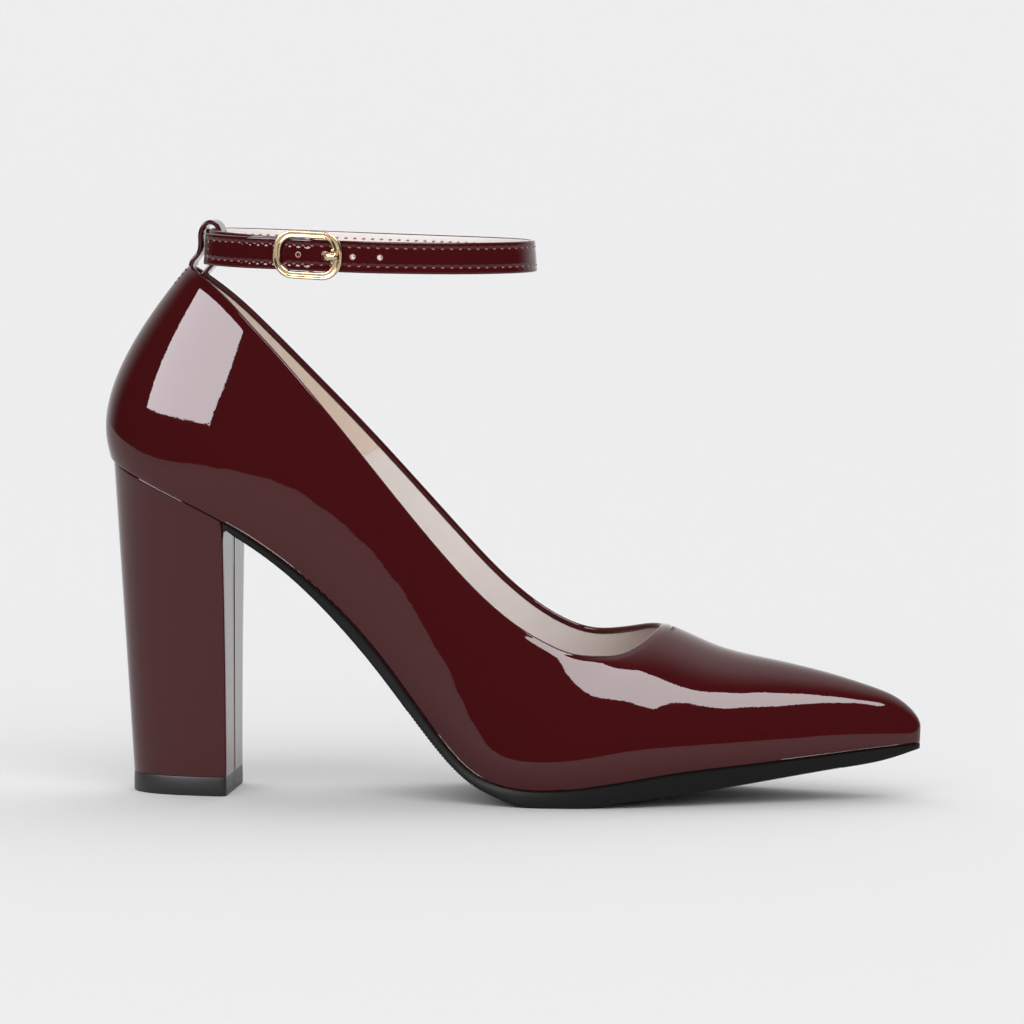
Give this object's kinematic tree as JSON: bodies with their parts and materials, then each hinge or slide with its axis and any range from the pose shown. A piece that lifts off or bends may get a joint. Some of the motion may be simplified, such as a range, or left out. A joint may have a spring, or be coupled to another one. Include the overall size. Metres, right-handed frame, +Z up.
{
  "type": "ankle strap pump",
  "caption": "Right-foot women's pump in glossy patent leather with a pointed toe, covered block heel, buckled ankle strap and back loop.",
  "frame": {"origin": "on the floor, on the heel tip's flat bottom face near its middle, on the shoe's middle plane", "axes": "+X from the heel to the toe, +Y to the inner side of the foot, +Z up"},
  "size_m": [0.2275, 0.0744, 0.1592],
  "materials": {
    "patent_leather": "mirror-gloss patent coat",
    "heel_cover": "gloss patent wrap",
    "lining": "matte synthetic lining",
    "sole_rubber": "moulded satin",
    "gold_metal": "light gold plate, polished"
  },
  "bodies": {
    "root": {"upper": "patent_leather", "insole": "lining", "outsole": "sole_rubber", "heel": "heel_cover", "heel_tip": "sole_rubber", "ankle_strap": "patent_leather", "back_loop": "patent_leather", "buckle_frame": "gold_metal", "buckle_prong": "gold_metal"}
  },
  "joints": []
}
